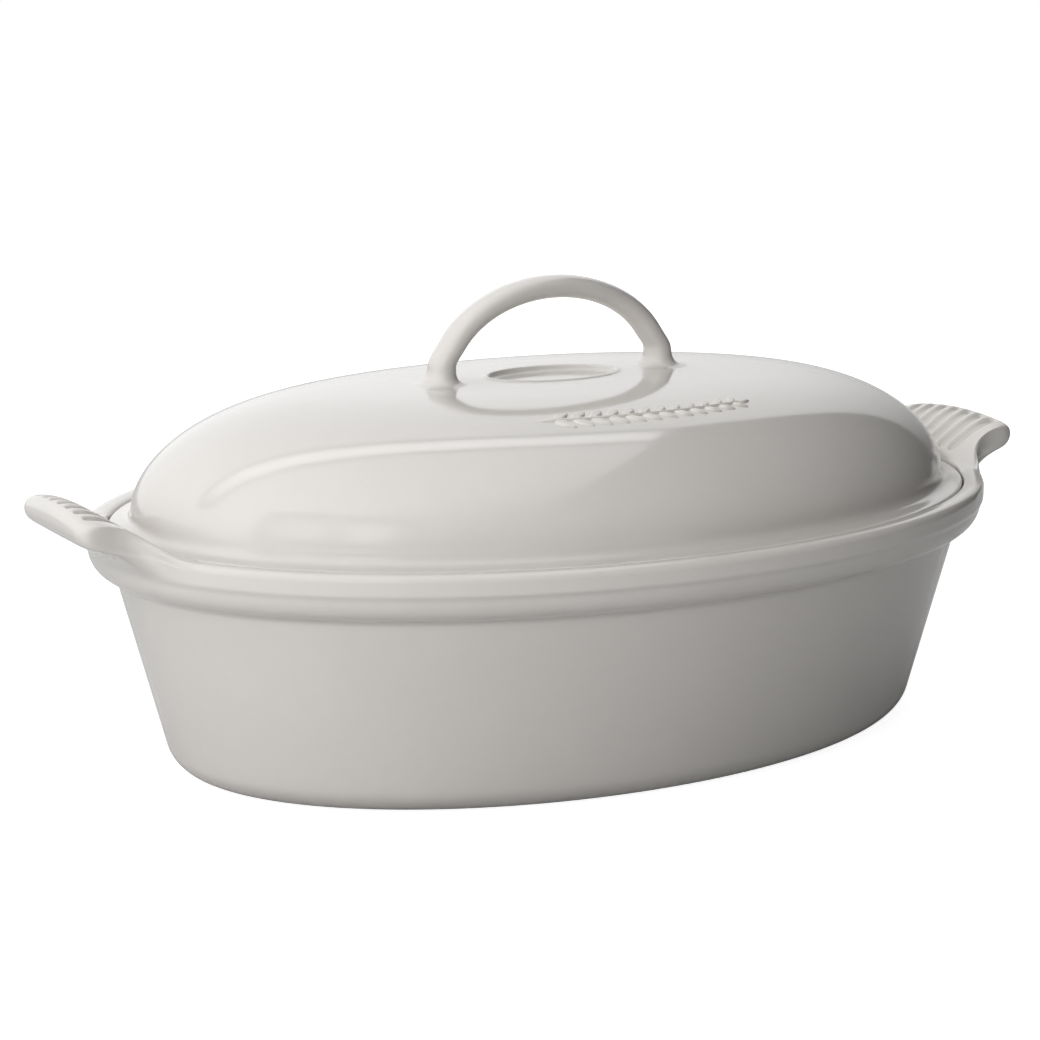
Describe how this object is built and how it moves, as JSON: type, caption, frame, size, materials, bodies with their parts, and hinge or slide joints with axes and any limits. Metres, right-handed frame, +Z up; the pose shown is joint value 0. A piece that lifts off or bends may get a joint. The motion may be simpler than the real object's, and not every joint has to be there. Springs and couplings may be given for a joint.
{
  "type": "covered oval casserole dish",
  "caption": "Oval glazed stoneware casserole dish with fluted end handles and a domed lid that lifts off by a loop handle.",
  "frame": {"origin": "middle of the dish's foot, on the surface it stands on", "axes": "+X along the oval towards one end handle, +Y across the oval to the back, +Z up the way the lid lifts"},
  "size_m": [0.4104, 0.2616, 0.1796],
  "materials": {
    "dish_glaze": "gloss",
    "lid_glaze": "gloss"
  },
  "bodies": {
    "dish": {"dish_body": "dish_glaze", "end_handle_left": "dish_glaze", "end_handle_right": "dish_glaze"},
    "lid": {"lid_shell": "lid_glaze", "loop_handle": "lid_glaze"}
  },
  "joints": [
    {"name": "lid_lift", "type": "slide", "parent": "dish", "child": "lid", "axis": [0, 0, 1], "range_m": [0, 0.15]}
  ]
}
